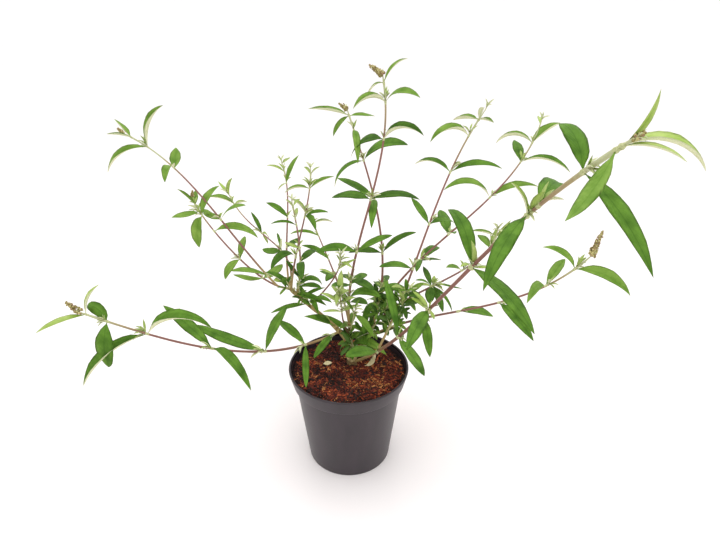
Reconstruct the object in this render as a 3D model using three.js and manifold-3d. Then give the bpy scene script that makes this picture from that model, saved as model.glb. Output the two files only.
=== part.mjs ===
// A young butterfly bush in its black nursery pot: woody crown, boughs, masses of foliage, root ball and pot.
// Millimetres, +Z up. The origin is the centre of the pot's flat underside. Azimuths are degrees from +X.
import * as THREE from 'three';
import { mergeVertices } from 'three/addons/utils/BufferGeometryUtils.js';
import Module from 'manifold-3d';

const wasm = await Module();
wasm.setup();

// ---- driving dimensions ----
const GAP = 0.3;                 // clearance between touching pieces
const LIMB_SIDES = 6;
const LIMB_STEP = 36;            // length of one straight stretch of a limb
const MASS_SIDES = 8;
const MASS_STEP = 15;

const POT_HEIGHT = 153;
const BASE_RADIUS = 60;
const SHOULDER_RADIUS = 75.5;    // the wall, just under the rim band
const BAND_HEIGHT = 24;
const BAND_FOOT_RADIUS = 79.5;
const RIM_RADIUS = 85;
const WALL = 1.6;
const FLOOR = 2.4;
const LIP = 3;                   // width of the turned lip on top of the band
const LIP_DEPTH = 2;             // height of the lip's inner edge
const LIP_ROUND = 0.9;           // its outer edge is cut back by this much
const POT_SEGMENTS = 36;
const DRAIN_HOLES = 8;
const DRAIN_RADIUS = 5;
const DRAIN_CIRCLE = 40;
const DRAIN_SIDES = 10;

const SOIL_TOP = 143.5;          // at the wall
const SOIL_CROWN = 145;          // in the middle
const SOIL_CROWN_RADIUS = 26;    // its flat middle
const SOIL_SHOULDER_RADIUS = 55;
const SOIL_SHOULDER_RISE = 0.6;  // over the soil at the wall

const CROWN_PLACE = [5, 17];
const CROWN_HEIGHT = 7;
const CROWN_FLARE_RADIUS = 9;
const CROWN_WAIST_RADIUS = 6.8;
const CROWN_NECK_RADIUS = 5.8;
const CROWN_TOP_RADIUS = 3.6;
const CROWN_WAIST = 0.4;         // shares of its height
const CROWN_NECK = 0.8;
const CROWN_SIDES = 12;

// Leaves stand in opposite pairs. A pair makes a two-sided lobe on its mass.
const LOBE_REACH = 0.66;         // how far a lobe stands off the bough, as a share of its leaf
const LOBE_ADVANCE = 0.45;       // how far up the bough it leans
const LOBE_WIDTH = 0.27;
const LOBE_SHARPNESS = 5;        // high powers make the lobe a thin pad
const CORE_RADIUS = 4.5;
const DROOP = 0.0042;            // fall of a lobe, per mm of its reach squared
const TIP_REACH = 0.6;           // how far the last leaves pass the bough's tip
const TIP_CORE = 0.4;            // share of the core's radius left at the very tip

// Every bough starts at a foot of its own, or at a share of the way along another one. It heads along
// its azimuth, reaches and rises, and bows off that straight line upwards (arch) and sideways (sway),
// in its first and last third. A leafy bough ends at its first mass. cuts are the shares of the way
// where each mass begins, and pairs gives each leaf pair's place, leaf length and turn about the bough.
const BOUGHS = [
  { name: 'left_limb', foot: [2, 18, 152], azimuth: 164, reach: 88, rise: 102,
    arch: [65, -39], sway: [40, -51], radius: [3.3, 2.4] },
  { name: 'centre_limb', foot: [5, 22, 152], azimuth: 139, reach: 6, rise: 56,
    arch: [0, 0], sway: [0, 0], radius: [3, 2.4] },
  { name: 'right_limb', foot: [9, 19, 151], azimuth: 17, reach: 24, rise: 42,
    arch: [2, 1], sway: [1, 1], radius: [2.7, 2.1] },
  { name: 'front_right_bough', foot: [9, 12, 150], azimuth: -56, reach: 350, rise: 398,
    arch: [-30, 23], sway: [7, -4], radius: [2.8, 1.3], cuts: [0.2, 0.5, 0.7, 0.86],
    pairs: [
      [0.25, 85, 75], [0.41, 88, 200], [0.6, 90, 85], [0.78, 95, 195], [0.91, 90, 70], [0.96, 125, 215],
    ] },
  { name: 'left_sprawling_bough', from: 'left_limb', at: 0.33, azimuth: -159, reach: 316, rise: 100,
    arch: [-52, -25], sway: [30, 18], radius: [2, 1.1], cuts: [0.1, 0.45, 0.7],
    pairs: [
      [0.15, 72, 355], [0.32, 90, 215], [0.53, 90, 170], [0.77, 95, 275], [0.91, 60, 310], [0.98, 63, 265],
    ] },
  { name: 'left_back_bough', from: 'left_limb', at: 1, azimuth: 139, reach: 215, rise: 82,
    arch: [-84, 44], sway: [-26, 55], radius: [1.7, 1], cuts: [0.2, 0.6],
    pairs: [
      [0.24, 48, 0], [0.43, 47, 325], [0.65, 60, 115], [0.78, 54, 290], [0.82, 46, 0], [0.89, 46, 45],
    ] },
  { name: 'left_high_bough', from: 'left_back_bough', at: 0.12, azimuth: 151, reach: 270, rise: 190,
    arch: [1, 29], sway: [0, -24], radius: [1.7, 1], cuts: [0.34, 0.66],
    pairs: [[0.39, 57, 95], [0.71, 61, 200], [0.87, 76, 315], [0.96, 44, 15]] },
  { name: 'back_left_bough', from: 'left_limb', at: 1, azimuth: 120, reach: 241, rise: 62,
    arch: [9, -38], sway: [-52, -8], radius: [1.5, 0.9], cuts: [0.3],
    pairs: [[0.35, 45, 305], [0.6, 36, 85], [0.93, 37, 15], [1, 40, 90]] },
  { name: 'back_bough', from: 'left_limb', at: 1, azimuth: 98, reach: 222, rise: 116,
    arch: [-1, -1], sway: [9, -17], radius: [1.5, 0.9], cuts: [0.48],
    pairs: [[0.52, 41, 55], [0.81, 40, 320], [0.91, 32, 25], [0.99, 30, 70]] },
  { name: 'left_inner_bough', from: 'left_limb', at: 0.97, azimuth: 78, reach: 116, rise: 140,
    arch: [3, -3], sway: [6, -9], radius: [1.4, 0.9], cuts: [0.5],
    pairs: [[0.6, 40, 150], [0.84, 44, 170], [0.96, 30, 305]] },
  { name: 'left_short_bough', from: 'left_limb', at: 0.88, azimuth: 96, reach: 46, rise: 123,
    arch: [14, -17], sway: [-13, -7], radius: [1.4, 0.9], cuts: [0.33],
    pairs: [[0.36, 48, 95], [0.51, 33, 310], [0.76, 38, 355], [0.96, 25, 0]] },
  { name: 'left_front_shoot', from: 'left_limb', at: 0.68, azimuth: -23, reach: 48, rise: 88,
    arch: [0, -14], sway: [0, 2], radius: [1.3, 0.9], cuts: [0.55],
    pairs: [[0.7, 30, 330], [0.94, 24, 65]] },
  { name: 'low_back_bough', from: 'centre_limb', at: 0.8, azimuth: 109, reach: 199, rise: 95,
    arch: [3, 0], sway: [-12, 0], radius: [1.5, 0.9], cuts: [0.38],
    pairs: [[0.42, 34, 45], [0.58, 49, 50], [0.81, 48, 20], [0.94, 37, 175]] },
  { name: 'tall_bough', from: 'centre_limb', at: 1, azimuth: 62, reach: 95, rise: 324,
    arch: [6, -16], sway: [22, -35], radius: [2, 1.1], cuts: [0.12, 0.46, 0.7],
    pairs: [
      [0.16, 57, 270], [0.3, 60, 70], [0.52, 65, 35], [0.76, 68, 345], [0.9, 54, 320], [0.97, 48, 105],
    ] },
  { name: 'centre_shoot', from: 'centre_limb', at: 0.6, azimuth: -118, reach: 28, rise: 84,
    arch: [-6, -1], sway: [-8, -1], radius: [1.4, 0.9], cuts: [0.45],
    pairs: [[0.6, 28, 20], [0.95, 30, 100]] },
  { name: 'back_tall_bough', from: 'right_limb', at: 1, azimuth: 103, reach: 153, rise: 281,
    arch: [1, 13], sway: [-53, -19], radius: [1.9, 1], cuts: [0.3, 0.68],
    pairs: [[0.34, 61, 325], [0.58, 70, 60], [0.76, 70, 310], [0.9, 60, 65], [0.98, 52, 355]] },
  { name: 'back_right_bough', from: 'right_limb', at: 0.8, azimuth: 29, reach: 284, rise: 274,
    arch: [36, -37], sway: [30, -31], radius: [2, 1], cuts: [0.28, 0.62],
    pairs: [
      [0.33, 66, 335], [0.47, 60, 5], [0.67, 78, 80], [0.84, 72, 350], [0.92, 55, 20], [0.99, 45, 300],
    ] },
  { name: 'low_right_bough', from: 'right_limb', at: 0.7, azimuth: -18, reach: 276, rise: 173,
    arch: [16, -41], sway: [6, -18], radius: [1.9, 1], cuts: [0.26, 0.58],
    pairs: [[0.3, 70, 190], [0.45, 67, 335], [0.62, 70, 210], [0.81, 72, 0], [0.93, 65, 85]] },
  { name: 'inner_right_bough', from: 'right_limb', at: 1, azimuth: -26, reach: 162, rise: 184,
    arch: [28, -46], sway: [-11, 60], radius: [1.6, 0.9], cuts: [0.44],
    pairs: [[0.48, 40, 255], [0.66, 42, 140], [0.88, 25, 100], [0.97, 34, 175]] },
  { name: 'high_right_bough', from: 'front_right_bough', at: 0.125, azimuth: 40, reach: 182, rise: 296,
    arch: [-2, 15], sway: [-11, 17], radius: [1.9, 1], cuts: [0.31, 0.66],
    pairs: [[0.35, 59, 80], [0.53, 55, 80], [0.74, 66, 25], [0.89, 60, 90], [0.96, 44, 0]] },
];

// Small leafy tufts with no limb of their own showing: dense side shoots about the middle of the bush.
const TUFTS = [
  { name: 'foliage_centre_front', from: 'centre_limb', at: 0.7, azimuth: -79, reach: 40, rise: 60 },
  { name: 'foliage_centre_right', from: 'right_limb', at: 0.9, azimuth: 70, reach: 26, rise: 48 },
  { name: 'foliage_right_low', from: 'right_limb', at: 0.6, azimuth: -27, reach: 34, rise: 66 },
  { name: 'foliage_right_inner', from: 'high_right_bough', at: 0.08, azimuth: 0, reach: 27, rise: 60 },
  { name: 'foliage_left_limb', from: 'left_limb', at: 0.62, azimuth: 20, reach: 34, rise: 42 },
  { name: 'foliage_low_front', from: 'centre_limb', at: 0.3, azimuth: -75, reach: 40, rise: 14 },
];
const TUFT_RADIUS = 11;
const TUFT_RINGS = 6;
const TUFT_STAND_OFF = 0.22;     // share of the tuft's length left bare at its foot
const TUFT_END = 0.25;           // share of its radius left where it is thinnest
const TUFT_SWELL = [0.12, 0.92]; // the stretch of a half sine that its radius follows
const TUFT_LEAN = 1.3;           // powers over 1 carry its fattest place up
const TUFT_UNEVEN = 0.28;
const TUFT_TWIST = 2.1;          // turn of its uneven section from ring to ring, in radians

const MERGE_DISTANCE = 1e-4;
const SLIGHTEST_CUT = 1e-6;      // cubic millimetres

// ---- curves and their frames ----
const onPlan = (azimuth) => {
  const a = THREE.MathUtils.degToRad(azimuth);
  return new THREE.Vector3(Math.cos(a), Math.sin(a), 0);
};

// A bough's axis: a cubic curve whose two handles stand off its chord by arch and sway.
function boughAxis(start, { azimuth, reach, rise, arch = [0, 0], sway = [0, 0] }) {
  const out = onPlan(azimuth);
  const side = onPlan(azimuth + 90);
  const chord = out.clone().multiplyScalar(reach).setZ(rise);
  const up = new THREE.Vector3().crossVectors(chord, side).normalize();
  const handle = (share, i) => start.clone().addScaledVector(chord, share)
    .addScaledVector(up, arch[i]).addScaledVector(side, sway[i]);
  return new THREE.CubicBezierCurve3(start, handle(1 / 3, 0), handle(2 / 3, 1), start.clone().add(chord));
}

// Two directions square to a tangent: side is level, up is the upper one.
function crossFrame(tangent) {
  const side = new THREE.Vector3(-tangent.y, tangent.x, 0).normalize();
  const up = new THREE.Vector3().crossVectors(tangent, side).normalize();
  if (up.z < 0) up.negate();
  return { side, up };
}

// ---- closed meshes ----
// Skins a stack of rings, each with the same number of points, and closes both ends with flat fans.
function skin(rings) {
  const sides = rings[0].length;
  const points = rings.flat();
  const faces = [];
  for (let i = 0; i + 1 < rings.length; i++) {
    for (let j = 0; j < sides; j++) {
      const a = i * sides + j;
      const b = i * sides + (j + 1) % sides;
      faces.push(a, b, b + sides, a, b + sides, a + sides);
    }
  }
  const last = (rings.length - 1) * sides;
  for (let j = 1; j + 1 < sides; j++) {
    faces.push(0, j + 1, j, last, last + j, last + j + 1);
  }
  const geometry = new THREE.BufferGeometry();
  geometry.setAttribute('position', new THREE.Float32BufferAttribute(points.flatMap((p) => p.toArray()), 3));
  geometry.setIndex(faces);
  return geometry;
}

// A turned shape: the profile, in radius and height, goes round the vertical axis through place.
function turned(profile, place = [0, 0], segments = POT_SEGMENTS) {
  const geometry = new THREE.LatheGeometry(profile.map(([r, z]) => new THREE.Vector2(r, z)), segments);
  return geometry.rotateX(Math.PI / 2).translate(place[0], place[1], 0);
}

// A limb: rings square to its axis, tapering from one radius to the other between two shares of it.
function limbShape(axis, radius, from, to, grow = 0) {
  const count = Math.max(2, Math.ceil((axis.getLength() * (to - from)) / LIMB_STEP));
  const rings = [];
  for (let i = 0; i <= count; i++) {
    const share = from + ((to - from) * i) / count;
    const { side, up } = crossFrame(axis.getTangent(share));
    const r = THREE.MathUtils.lerp(radius[0], radius[1], share) + grow;
    rings.push(ringOf(axis.getPoint(share), side, up, LIMB_SIDES, () => r));
  }
  return skin(rings);
}

// A ring of points about a centre. A ring of right-handed frame runs anticlockwise seen from the tip.
function ringOf(centre, side, up, sides, radiusAt, phase = 0) {
  const ring = [];
  for (let j = 0; j < sides; j++) {
    const angle = phase + (j * 2 * Math.PI) / sides;
    const r = radiusAt(angle);
    const point = centre.clone().addScaledVector(side, r * Math.cos(angle));
    ring.push(point.addScaledVector(up, r * Math.sin(angle)));
  }
  return ring;
}

// A mass of foliage round one stretch of a bough: a slim core with a thin two-sided lobe for each leaf
// pair, which leans up the bough and droops. The last mass runs on past the bough's tip.
function massShape(bough, axis, from, to, grow = 0) {
  const length = axis.getLength();
  const isLast = to >= 1;
  const beyond = isLast ? TIP_REACH * bough.pairs.at(-1)[1] : 0;
  const start = from * length;
  const end = (isLast ? length : to * length) + beyond;
  const pairs = bough.pairs.filter(([place]) => place >= from && (place < to || isLast));
  const { side: level } = crossFrame(axis.getTangent((from + Math.min(to, 1)) / 2));
  const lobes = pairs.map(([place, leaf, turn]) => {
    const frame = crossFrame(axis.getTangent(place));
    const a = THREE.MathUtils.degToRad(turn);
    const way = frame.side.multiplyScalar(Math.cos(a)).addScaledVector(frame.up, Math.sin(a));
    return { way, leaf, centre: place * length + LOBE_ADVANCE * leaf };
  });
  const count = Math.ceil((end - start) / MASS_STEP);
  const rings = [];
  for (let i = 0; i <= count; i++) {
    const d = start + ((end - start) * i) / count;
    const share = Math.min(d / length, 1);
    const tangent = axis.getTangent(share);
    const centre = axis.getPoint(share).addScaledVector(tangent, Math.max(0, d - length));
    const side = level.clone().addScaledVector(tangent, -level.dot(tangent)).normalize();
    const up = new THREE.Vector3().crossVectors(side, tangent).negate();
    const ends = Math.min(1, (d - start) / MASS_STEP, (end - d) / (isLast ? beyond : MASS_STEP));
    const turnOf = (lobe) => Math.atan2(lobe.way.dot(up), lobe.way.dot(side));
    const phase = lobes.length ? turnOf(lobes[0]) : 0;
    const radiusAt = (angle) => {
      const reaches = lobes.map((lobe) => {
        const along = Math.exp(-(((d - lobe.centre) / (LOBE_WIDTH * lobe.leaf)) ** 2));
        const around = Math.abs(Math.cos(angle - turnOf(lobe))) ** LOBE_SHARPNESS;
        return LOBE_REACH * lobe.leaf * along * around;
      });
      const core = CORE_RADIUS * (isLast ? THREE.MathUtils.lerp(TIP_CORE, 1, ends) : 1);
      return core + grow + ends * Math.max(0, ...reaches);
    };
    const ring = ringOf(centre, side, up, MASS_SIDES, radiusAt, phase);
    ring.forEach((p) => { p.z -= DROOP * p.distanceToSquared(centre); });
    rings.push(ring);
  }
  return skin(rings);
}

// A tuft: a short crooked spindle, fattest above its middle.
function tuftShape(axis, index, grow = 0) {
  const rings = [];
  for (let i = 0; i <= TUFT_RINGS; i++) {
    const u = i / TUFT_RINGS;
    const share = THREE.MathUtils.lerp(TUFT_STAND_OFF, 1, u);
    const { side, up } = crossFrame(axis.getTangent(share));
    const fullness = Math.sin(Math.PI * THREE.MathUtils.lerp(...TUFT_SWELL, u ** TUFT_LEAN));
    const radius = TUFT_RADIUS * THREE.MathUtils.lerp(TUFT_END, 1, fullness);
    const uneven = (angle) => 1 + TUFT_UNEVEN * Math.sin(2 * angle + TUFT_TWIST * i + index);
    const radiusAt = (angle) => radius * uneven(angle) + grow;
    rings.push(ringOf(axis.getPoint(share), side, up, MASS_SIDES, radiusAt));
  }
  return skin(rings);
}

// ---- joining and cutting ----
function toSolid(geometry) {
  const bare = new THREE.BufferGeometry();
  bare.setAttribute('position', geometry.getAttribute('position'));
  bare.setIndex(geometry.getIndex());
  const merged = mergeVertices(bare, MERGE_DISTANCE);
  const vertProperties = new Float32Array(merged.getAttribute('position').array);
  const triVerts = new Uint32Array(merged.getIndex().array);
  return new wasm.Manifold(new wasm.Mesh({ numProp: 3, vertProperties, triVerts }));
}

function toGeometry(solid) {
  const { vertProperties, triVerts } = solid.getMesh();
  const geometry = new THREE.BufferGeometry();
  geometry.setAttribute('position', new THREE.BufferAttribute(new Float32Array(vertProperties), 3));
  geometry.setIndex(new THREE.BufferAttribute(new Uint32Array(triVerts), 1));
  return geometry;
}

function boxOf(geometry) {
  geometry.computeBoundingBox();
  return geometry.boundingBox;
}

// Grown copies of the pieces already placed. Each later piece is cut back from them, and keeps its main part.
const taken = [];
function clearOfTaken(geometry) {
  const box = boxOf(geometry);
  let solid = toSolid(geometry);
  let isCut = false;
  for (const other of taken) {
    if (!other.box.intersectsBox(box)) continue;
    const left = solid.subtract(other.solid);
    if (left.volume() < solid.volume() - SLIGHTEST_CUT) {
      solid = left.decompose().sort((a, b) => b.volume() - a.volume())[0];
      isCut = true;
    }
  }
  return isCut ? toGeometry(solid) : geometry;
}

function take(grown) {
  taken.push({ box: boxOf(grown).clone(), solid: toSolid(grown) });
}

// ---- materials ----
const finish = (colour, roughness) => new THREE.MeshStandardMaterial({ color: colour, roughness });
const potPlastic = () => finish(0x2b292d, 0.42);
const barkSoil = () => finish(0x5b2f1c, 0.95);
const oldWood = () => finish(0x9a7a4a, 0.85);
const youngBark = () => finish(0x9b6b5c, 0.7);
const foliageGreen = () => finish(0x4c8a2c, 0.65);

// ---- the assembly ----
const bush = new THREE.Group();
function place(name, geometry, material) {
  const mesh = new THREE.Mesh(geometry, material);
  mesh.name = name;
  bush.add(mesh);
}

// The pot: a tapered wall, a wider band with a turned lip, and a flat floor with drain holes.
function potShape() {
  const bandFoot = POT_HEIGHT - BAND_HEIGHT;
  const shell = turned([
    [0, 0], [BASE_RADIUS, 0], [SHOULDER_RADIUS, bandFoot], [BAND_FOOT_RADIUS, bandFoot],
    [RIM_RADIUS, POT_HEIGHT - LIP_ROUND], [RIM_RADIUS - LIP_ROUND, POT_HEIGHT],
    [RIM_RADIUS - LIP, POT_HEIGHT], [RIM_RADIUS - LIP, POT_HEIGHT - LIP_DEPTH],
    [BAND_FOOT_RADIUS - WALL, bandFoot + WALL],
    [SHOULDER_RADIUS - WALL, bandFoot + WALL], [BASE_RADIUS - WALL, FLOOR], [0, FLOOR],
  ]);
  let pot = toSolid(shell);
  for (let i = 0; i < DRAIN_HOLES; i++) {
    const way = onPlan((i * 360) / DRAIN_HOLES).multiplyScalar(DRAIN_CIRCLE);
    const hole = new THREE.CylinderGeometry(DRAIN_RADIUS, DRAIN_RADIUS, 3 * FLOOR, DRAIN_SIDES);
    pot = pot.subtract(toSolid(hole.rotateX(Math.PI / 2).translate(way.x, way.y, FLOOR / 2)));
  }
  return toGeometry(pot);
}

// The root ball: it fills the pot to just under the rim and swells a little towards the middle.
function rootBallShape() {
  const foot = FLOOR + GAP;
  const bandFoot = POT_HEIGHT - BAND_HEIGHT;
  const between = THREE.MathUtils.mapLinear;
  const wallAt = (z) => between(z, FLOOR, bandFoot + WALL, BASE_RADIUS - WALL, SHOULDER_RADIUS - WALL);
  const bandAt = (z) => between(z, bandFoot + WALL, POT_HEIGHT - LIP_DEPTH,
    BAND_FOOT_RADIUS - WALL, RIM_RADIUS - LIP);
  return turned([
    [0, foot], [wallAt(foot) - 2 * GAP, foot], [SHOULDER_RADIUS - WALL - 2 * GAP, bandFoot + WALL],
    [BAND_FOOT_RADIUS - WALL - GAP, bandFoot + WALL + GAP], [bandAt(SOIL_TOP) - GAP, SOIL_TOP],
    [SOIL_SHOULDER_RADIUS, SOIL_TOP + SOIL_SHOULDER_RISE],
    [SOIL_CROWN_RADIUS, SOIL_CROWN], [0, SOIL_CROWN],
  ]);
}

// The woody crown: a low knob of old wood with a flare where the roots leave it.
function woodyCrown(grow = 0) {
  const foot = SOIL_CROWN + GAP;
  return turned([
    [0, foot - grow], [CROWN_FLARE_RADIUS + grow, foot - grow],
    [CROWN_WAIST_RADIUS + grow, foot + CROWN_WAIST * CROWN_HEIGHT],
    [CROWN_NECK_RADIUS + grow, foot + CROWN_NECK * CROWN_HEIGHT],
    [CROWN_TOP_RADIUS, foot + CROWN_HEIGHT + grow], [0, foot + CROWN_HEIGHT + grow],
  ], CROWN_PLACE, CROWN_SIDES);
}

place('pot', potShape(), potPlastic());
place('root_ball', rootBallShape(), barkSoil());
place('woody_crown', woodyCrown(), oldWood());
take(woodyCrown(GAP));

const axes = {};
const startOf = ({ foot, from, at }) => (foot ? new THREE.Vector3(...foot) : axes[from].getPoint(at));
for (const bough of BOUGHS) {
  const axis = boughAxis(startOf(bough), bough);
  axes[bough.name] = axis;
  const end = bough.cuts ? bough.cuts[0] : 1;
  const gapShare = GAP / 2 / axis.getLength();
  const isOld = !bough.cuts;
  const geometry = clearOfTaken(limbShape(axis, bough.radius, 0, end - gapShare));
  place(bough.name, geometry, isOld ? oldWood() : youngBark());
  take(limbShape(axis, bough.radius, 0, end - gapShare, GAP));
}
for (const bough of BOUGHS.filter((b) => b.cuts)) {
  const axis = axes[bough.name];
  const gapShare = GAP / 2 / axis.getLength();
  bough.cuts.forEach((cut, i) => {
    const isLast = i + 1 === bough.cuts.length;
    const to = isLast ? 1 : bough.cuts[i + 1] - gapShare;
    const name = `foliage_${bough.name.replace(/_bough|_shoot/, '')}_${i + 1}`;
    place(name, clearOfTaken(massShape(bough, axis, cut + gapShare, to)), foliageGreen());
    take(massShape(bough, axis, cut + gapShare, to, 2 * GAP));
  });
}
TUFTS.forEach((tuft, index) => {
  const axis = boughAxis(startOf(tuft), tuft);
  place(tuft.name, clearOfTaken(tuftShape(axis, index)), foliageGreen());
  take(tuftShape(axis, index, 2 * GAP));
});

export default bush;
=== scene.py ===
# A young butterfly bush in its nursery pot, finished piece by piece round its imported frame. Metres, +Z up.
from math import acos, atan2, cos, hypot, pi, radians, sin

import bmesh
import bpy
import numpy as np
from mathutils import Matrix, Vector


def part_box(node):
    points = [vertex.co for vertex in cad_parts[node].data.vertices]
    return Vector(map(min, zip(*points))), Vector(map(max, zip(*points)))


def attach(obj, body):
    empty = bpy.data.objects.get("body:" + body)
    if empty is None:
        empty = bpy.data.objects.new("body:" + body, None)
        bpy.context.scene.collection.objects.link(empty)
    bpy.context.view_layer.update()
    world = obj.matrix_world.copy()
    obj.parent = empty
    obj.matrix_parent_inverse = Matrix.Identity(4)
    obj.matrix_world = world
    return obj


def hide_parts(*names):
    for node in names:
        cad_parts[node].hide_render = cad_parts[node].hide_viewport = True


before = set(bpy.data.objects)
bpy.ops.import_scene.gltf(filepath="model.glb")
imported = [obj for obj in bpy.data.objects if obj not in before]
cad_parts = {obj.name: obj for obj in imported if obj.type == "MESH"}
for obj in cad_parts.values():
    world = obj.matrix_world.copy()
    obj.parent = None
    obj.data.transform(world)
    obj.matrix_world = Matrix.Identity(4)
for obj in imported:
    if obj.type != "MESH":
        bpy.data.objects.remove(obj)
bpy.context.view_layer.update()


# ---------------- the pot
# A round two-litre nursery pot, injection moulded in black plastic with a satin skin.
# A wider band with a turned lip stiffens its rim, and eight holes in its floor let water drain.

class Tone:
    """A shader socket. Arithmetic on it adds Math nodes and gives a new socket."""

    def __init__(self, finish, socket):
        self.finish, self.socket = finish, socket

    def maths(self, operation, *others):
        return self.finish.node("Math", dict(enumerate((self, *others))), operation=operation)

    def __add__(self, other):
        return self.maths("ADD", other)

    def __sub__(self, other):
        return self.maths("SUBTRACT", other)

    def __mul__(self, other):
        return self.maths("MULTIPLY", other)

    __radd__ = __add__
    __rmul__ = __mul__


def colour(code):
    """A shader colour from a display colour of six hex digits."""
    parts = [int(code[i:i + 2], 16) / 255 for i in (0, 2, 4)]
    linear = [p / 12.92 if p <= 0.04045 else ((p + 0.055) / 1.055) ** 2.4 for p in parts]
    return (*linear, 1.0)


class Finish:
    """A material on one Principled shader, with the nodes that feed it. Colours are given in hex digits."""

    def __init__(self, name, **constants):
        self.material = bpy.data.materials.new(name)
        self.material.use_nodes = True
        self.tree = self.material.node_tree
        self.shader = self.tree.nodes["Principled BSDF"]
        self.paint(**constants)

    def paint(self, **values):
        for socket, value in values.items():
            self.feed(self.shader.inputs[socket.replace("_", " ")], value)

    def feed(self, socket, value):
        if isinstance(value, Tone):
            self.tree.links.new(value.socket, socket)
        else:
            socket.default_value = colour(value) if isinstance(value, str) else value

    def node(self, kind, inputs, output=0, **settings):
        """Adds a node, feeds its sockets and sets its settings. Gives one of its outputs."""
        made = self.tree.nodes.new("ShaderNode" + kind)
        for setting, value in settings.items():
            setattr(made, setting, value)
        for socket, value in inputs.items():
            self.feed(made.inputs[socket], value)
        return Tone(self, made.outputs[output])

    def along(self, axis):
        """The piece's UV along one axis, 0 for U and 1 for V."""
        return self.node("SeparateXYZ", {"Vector": self.node("TexCoord", {}, "UV")}, axis)

    def cloud(self, scale, detail=3.0, stretch=(1, 1, 1)):
        """Soft noise from 0 to 1 in the piece's coordinates, stretched along each axis."""
        where = self.node("Mapping", {"Vector": self.node("TexCoord", {}, "Object"), "Scale": stretch})
        return self.node("TexNoise", {"Vector": where, "Scale": scale, "Detail": detail})

    def ramp(self, value, *stops):
        """A colour that runs through stops, each a place and a colour."""
        tone = self.node("ValToRGB", {"Fac": value})
        elements = tone.socket.node.color_ramp.elements
        while len(elements) < len(stops):
            elements.new(1.0)
        for element, (place, code) in zip(elements, stops):
            element.position = place
            element.color = colour(code)
        return tone

    def mix(self, share, first, second):
        """A colour between two others."""
        return self.node("Mix", {0: share, 6: first, 7: second}, 2, data_type="RGBA")

    def relief(self, height, strength, depth):
        """A bumpy skin, raised where the height is large."""
        self.paint(Normal=self.node("Bump", {"Height": height, "Strength": strength, "Distance": depth}))


def speckled(name, dark, light, scale, detail=3.0, low=0.3, strength=0.0, depth=0.0, **constants):
    """A material of fine noise between a dark and a light tone, raised a little where it is light."""
    finish = Finish(name, **constants)
    noise = finish.cloud(scale, detail)
    if strength:
        finish.relief(noise, strength, depth)
    finish.paint(Base_Color=finish.ramp(noise, (low, dark), (1 - low, light)))
    return finish.material


def stacked(*parts):
    """Arrays or numbers, spread to one shape and put together along a new last axis."""
    return np.stack(np.broadcast_arrays(*parts), -1)


def grid_faces(rows, columns, closed):
    """Four-cornered faces of a grid of points. A closed grid joins its last column to its first."""
    row = np.arange(rows - 1)[:, None] * columns
    column = np.arange(columns if closed else columns - 1)
    following = (column + 1) % columns
    corners = row + column, row + following, row + following + columns, row + column + columns
    return stacked(*corners).reshape(-1, 4)


def repeated(faces, count, points_each):
    """The faces of several like grids whose points follow each other."""
    return (faces + np.arange(count)[:, None, None] * points_each).reshape(-1, 4)


def joined(parts):
    """Several grids as one, each of them its points, its faces and its UV."""
    points, faces, flows = zip(*parts)
    starts = np.cumsum([0, *(grid[..., 0].size for grid in points[:-1])])
    return (np.concatenate([grid.reshape(-1, 3) for grid in points]),
            np.concatenate([own + start for own, start in zip(faces, starts)]),
            np.concatenate([flow.reshape(-1, 2) for flow in flows]))


def placed(name, data):
    """A new object in the scene."""
    made = bpy.data.objects.new(name, data)
    bpy.context.scene.collection.objects.link(made)
    return made


def make_piece(name, points, faces, materials, material_of_face=None, flow=None):
    """A smooth mesh from its points and faces, each face's material and each point's UV. Points that meet
    are merged, so that poles close."""
    mesh = bpy.data.meshes.new(name)
    mesh.from_pydata(points.reshape(-1, 3).tolist(), [], faces.tolist())
    for material in materials:
        mesh.materials.append(material)
    if material_of_face is not None:
        mesh.polygons.foreach_set("material_index", np.asarray(material_of_face, np.int32))
    if flow is not None:
        corner_points = np.zeros(len(mesh.loops), np.int32)
        mesh.loops.foreach_get("vertex_index", corner_points)
        layer = mesh.uv_layers.new(name="flow")
        layer.data.foreach_set("uv", flow.reshape(-1, 2)[corner_points].astype(np.float32).ravel())
    edit = bmesh.new()
    edit.from_mesh(mesh)
    bmesh.ops.remove_doubles(edit, verts=edit.verts, dist=1e-6)
    edit.to_mesh(mesh)
    edit.free()
    mesh.shade_smooth()
    return placed(name, mesh)


LONGEST_CUT = 0.45  # share of a side that one rounded corner may take


def rounded(corners, radius, steps=4):
    """An outline with each inner corner cut back by the radius and bridged by a quadratic curve."""
    corners = np.array(corners, float)
    share = np.linspace(0, 1, steps + 1)[:, None]
    outline = [corners[:1]]
    for before, corner, after in zip(corners, corners[1:], corners[2:]):
        back, on = before - corner, after - corner
        start = corner + back * min(LONGEST_CUT, radius / np.linalg.norm(back))
        end = corner + on * min(LONGEST_CUT, radius / np.linalg.norm(on))
        outline.append((1 - share) ** 2 * start + 2 * share * (1 - share) * corner + share ** 2 * end)
    return np.concatenate([*outline, corners[-1:]])


def full_turn(count):
    """Even angles round a full turn, in radians."""
    return np.arange(count) * 2 * pi / count


def turned(profile, sides):
    """A profile of radius and height, carried round the vertical axis: x = r cos a, y = r sin a."""
    angle = full_turn(sides)
    radius, height = np.asarray(profile)[:, :1], np.asarray(profile)[:, 1:]
    x, y = radius * np.cos(angle), radius * np.sin(angle)
    return stacked(x, y, height), grid_faces(len(profile), sides, True)


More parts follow.
